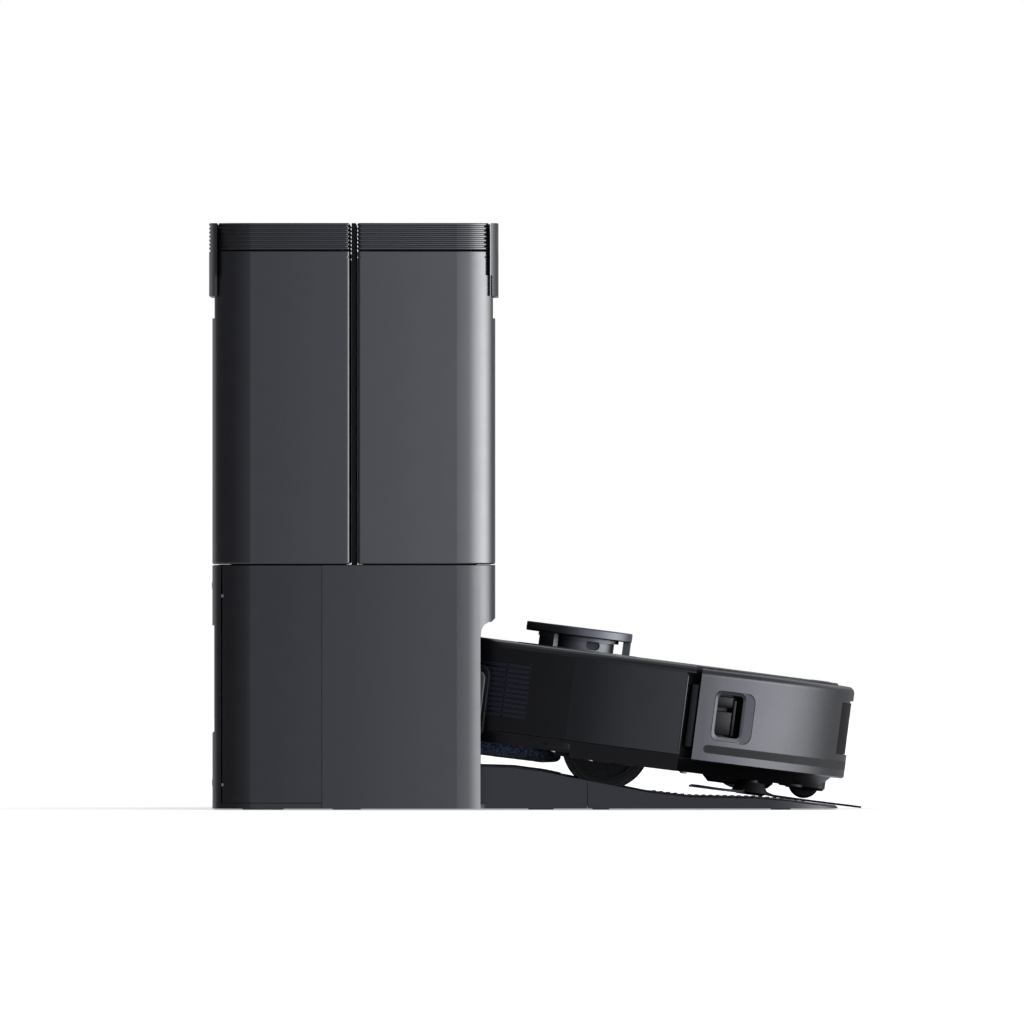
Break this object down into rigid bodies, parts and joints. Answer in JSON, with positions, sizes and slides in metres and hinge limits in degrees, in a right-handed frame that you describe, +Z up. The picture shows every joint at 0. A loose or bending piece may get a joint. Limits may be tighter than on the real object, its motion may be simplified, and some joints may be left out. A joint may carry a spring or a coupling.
{
  "type": "robot vacuum",
  "caption": "Round robot vacuum and mop with a laser turret, parked nose down on the ramp of a tall base station with lift-off water tanks, hinged lids and latches.",
  "frame": {"origin": "centre of the tower's footprint on the floor, on the underside of a middle foot", "axes": "+X is the way the robot drives out over the ramp, +Y is the robot's left side, +Z is up"},
  "size_m": [0.4569, 0.35, 0.4106],
  "materials": {
    "bag_paper": "white non-woven",
    "battery_wrap": "shrink wrap",
    "bin_smoke": "smoked",
    "black_plastic": "matt black",
    "brush_blue": "blue-black elastomer",
    "bumper_metallic": "metallic dark grey paint",
    "contact_metal": "plated",
    "housing_dark": "satin charcoal",
    "inner_grey": "plain",
    "latch_dark": "satin charcoal",
    "lid_dark": "ribbed satin charcoal",
    "louvre_blue": "blue-black",
    "mop_blue": "dark blue microfibre",
    "pcb": "printed circuit board",
    "ramp_slate": "fine-grained slate grey",
    "robot_charcoal": "satin near-black",
    "rubber_black": "matt",
    "steel": "bright",
    "tank_dark": "satin charcoal, slightly lighter",
    "tray_grey": "satin grey",
    "turret_metallic": "metallic dark grey paint",
    "tyre_black": "matt",
    "window_black": "gloss black, infrared clear"
  },
  "bodies": {
    "station": {"base_pan": "ramp_slate", "ramp_plate": "ramp_slate", "ramp_treads": "rubber_black", "washboard_tray": "tray_grey", "station_feet": "rubber_black", "front_housing": "housing_dark", "rear_cover": "housing_dark", "bay_liner": "black_plastic", "ir_window": "window_black", "charging_contacts": "contact_metal", "tank_bay_frame": "black_plastic", "dust_bag": "bag_paper", "dust_bag_collar": "inner_grey", "suction_fan_housing": "inner_grey", "water_pumps": "inner_grey", "power_board": "pcb", "power_inlet": "black_plastic"},
    "suction_impeller": {"suction_impeller": "inner_grey"},
    "dust_bag_door": {"dust_bag_door": "housing_dark"},
    "front_tank": {"front_tank_shell": "tank_dark", "front_tank_seal": "rubber_black", "front_tank_pin": "steel"},
    "front_tank_lid": {"front_tank_lid": "lid_dark"},
    "front_tank_latch": {"front_tank_latch": "latch_dark"},
    "rear_tank": {"rear_tank_shell": "tank_dark", "rear_tank_seal": "rubber_black", "rear_tank_pin": "steel"},
    "rear_tank_lid": {"rear_tank_lid": "lid_dark"},
    "rear_tank_latch": {"rear_tank_latch": "latch_dark"},
    "robot": {"robot_chassis": "robot_charcoal", "robot_shell": "robot_charcoal", "vent_louvres": "louvre_blue", "robot_top_cover": "robot_charcoal", "dustbin": "bin_smoke", "robot_fan": "inner_grey", "battery_pack": "battery_wrap", "main_brush_cover": "black_plastic"},
    "dustbin_lid": {"dustbin_lid": "robot_charcoal"},
    "power_button": {"power_button": "turret_metallic"},
    "bumper": {"bumper": "bumper_metallic", "bumper_strip": "rubber_black", "side_sensor": "window_black", "front_sensor": "window_black"},
    "turret_cap": {"turret_cap": "turret_metallic"},
    "lidar_drum": {"lidar_drum": "turret_metallic"},
    "left_wheel_arm": {"left_wheel_arm": "black_plastic"},
    "left_wheel": {"left_wheel_hub": "black_plastic", "left_tyre": "tyre_black"},
    "right_wheel_arm": {"right_wheel_arm": "black_plastic"},
    "right_wheel": {"right_wheel_hub": "black_plastic", "right_tyre": "tyre_black"},
    "caster_fork": {"caster_fork": "black_plastic"},
    "caster_wheel": {"caster_wheel": "black_plastic"},
    "main_brush": {"main_brush": "brush_blue"},
    "side_brush": {"side_brush": "black_plastic"},
    "mop_carrier": {"mop_carrier": "inner_grey"},
    "left_mop": {"left_mop_plate": "black_plastic", "left_mop_pad": "mop_blue"},
    "right_mop": {"right_mop_plate": "black_plastic", "right_mop_pad": "mop_blue"}
  },
  "joints": [
    {"name": "impeller_spin", "type": "hinge", "parent": "station", "child": "suction_impeller", "pos_m": [-0.043, 0.085, 0.03], "axis": [0, 0, 1], "continuous": true},
    {"name": "bag_door_swing", "type": "hinge", "parent": "station", "child": "dust_bag_door", "pos_m": [-0.0912, -0.1614, 0.09], "axis": [0, 0, -1], "range_deg": [0, 95]},
    {"name": "front_tank_lift", "type": "slide", "parent": "station", "child": "front_tank", "axis": [0, 0, 1], "range_m": [0, 0.25]},
    {"name": "front_lid_swing", "type": "hinge", "parent": "front_tank", "child": "front_tank_lid", "pos_m": [0.00585, 0, 0.4074], "axis": [0, -1, 0], "range_deg": [0, 88]},
    {"name": "front_latch_swing", "type": "hinge", "parent": "front_tank_lid", "child": "front_tank_latch", "pos_m": [0.0985, 0, 0.4078], "axis": [0, -1, 0], "range_deg": [0, 25], "stiffness_Nm_per_rad": 0.25},
    {"name": "rear_tank_lift", "type": "slide", "parent": "station", "child": "rear_tank", "axis": [0, 0, 1], "range_m": [0, 0.25]},
    {"name": "rear_lid_swing", "type": "hinge", "parent": "rear_tank", "child": "rear_tank_lid", "pos_m": [-0.00585, 0, 0.4074], "axis": [0, 1, 0], "range_deg": [0, 88]},
    {"name": "rear_latch_swing", "type": "hinge", "parent": "rear_tank_lid", "child": "rear_tank_latch", "pos_m": [-0.0985, 0, 0.4078], "axis": [0, 1, 0], "range_deg": [0, 25], "stiffness_Nm_per_rad": 0.25},
    {"name": "robot_drive_out", "type": "slide", "parent": "station", "child": "robot", "axis": [1, 0, 0], "range_m": [0, 0.3]},
    {"name": "dustbin_lid_swing", "type": "hinge", "parent": "robot", "child": "dustbin_lid", "pos_m": [0.20776, 0, 0.10311], "axis": [0, -1, 0], "range_deg": [0, 85]},
    {"name": "power_button_press", "type": "slide", "parent": "robot", "child": "power_button", "axis": [-0.1271, 0, -0.9919], "range_m": [0, 0.0008], "stiffness_N_per_m": 900, "springref_m": -0.0006},
    {"name": "bumper_press", "type": "slide", "parent": "robot", "child": "bumper", "axis": [-0.9919, 0, 0.1271], "range_m": [0, 0.004], "stiffness_N_per_m": 450, "springref_m": -0.002},
    {"name": "turret_press", "type": "slide", "parent": "robot", "child": "turret_cap", "axis": [-0.1271, 0, -0.9919], "range_m": [0, 0.001], "stiffness_N_per_m": 1500, "springref_m": -0.001},
    {"name": "lidar_spin", "type": "hinge", "parent": "robot", "child": "lidar_drum", "pos_m": [0.15701, 0, 0.11456], "axis": [0.1271, 0, 0.9919], "continuous": true},
    {"name": "left_suspension", "type": "hinge", "parent": "robot", "child": "left_wheel_arm", "pos_m": [0.2216, 0.1076, 0.04982], "axis": [0, 1, 0], "range_deg": [0, 14], "stiffness_Nm_per_rad": 2, "springref_deg": -14.32},
    {"name": "left_wheel_spin", "type": "hinge", "parent": "left_wheel_arm", "child": "left_wheel", "pos_m": [0.1766, 0.121, 0.0448], "axis": [0, 1, 0], "continuous": true},
    {"name": "right_suspension", "type": "hinge", "parent": "robot", "child": "right_wheel_arm", "pos_m": [0.2216, -0.1076, 0.04982], "axis": [0, 1, 0], "range_deg": [0, 14], "stiffness_Nm_per_rad": 2, "springref_deg": -14.32},
    {"name": "right_wheel_spin", "type": "hinge", "parent": "right_wheel_arm", "child": "right_wheel", "pos_m": [0.1766, -0.121, 0.0448], "axis": [0, 1, 0], "continuous": true},
    {"name": "caster_swivel", "type": "hinge", "parent": "robot", "child": "caster_fork", "pos_m": [0.31748, 0, 0.02544], "axis": [0.1271, 0, 0.9919], "continuous": true},
    {"name": "caster_roll", "type": "hinge", "parent": "caster_fork", "child": "caster_wheel", "pos_m": [0.31595, 0, 0.01818], "axis": [0, 1, 0], "continuous": true},
    {"name": "main_brush_spin", "type": "hinge", "parent": "robot", "child": "main_brush", "pos_m": [0.27111, 0, 0.03491], "axis": [0, 1, 0], "continuous": true},
    {"name": "side_brush_spin", "type": "hinge", "parent": "robot", "child": "side_brush", "pos_m": [0.27769, -0.106, 0.01542], "axis": [0.1271, 0, 0.9919], "continuous": true},
    {"name": "mop_lift", "type": "slide", "parent": "robot", "child": "mop_carrier", "axis": [-0.1271, 0, -0.9919], "range_m": [0, 0.0045]},
    {"name": "left_mop_spin", "type": "hinge", "parent": "mop_carrier", "child": "left_mop", "pos_m": [0.08788, 0.0655, 0.04477], "axis": [0.1271, 0, 0.9919], "continuous": true},
    {"name": "right_mop_spin", "type": "hinge", "parent": "mop_carrier", "child": "right_mop", "pos_m": [0.08788, -0.0655, 0.04477], "axis": [0.1271, 0, 0.9919], "continuous": true}
  ],
  "couplings": [
    {"joint": "right_mop_spin", "follows": "left_mop_spin", "ratio": -1}
  ]
}
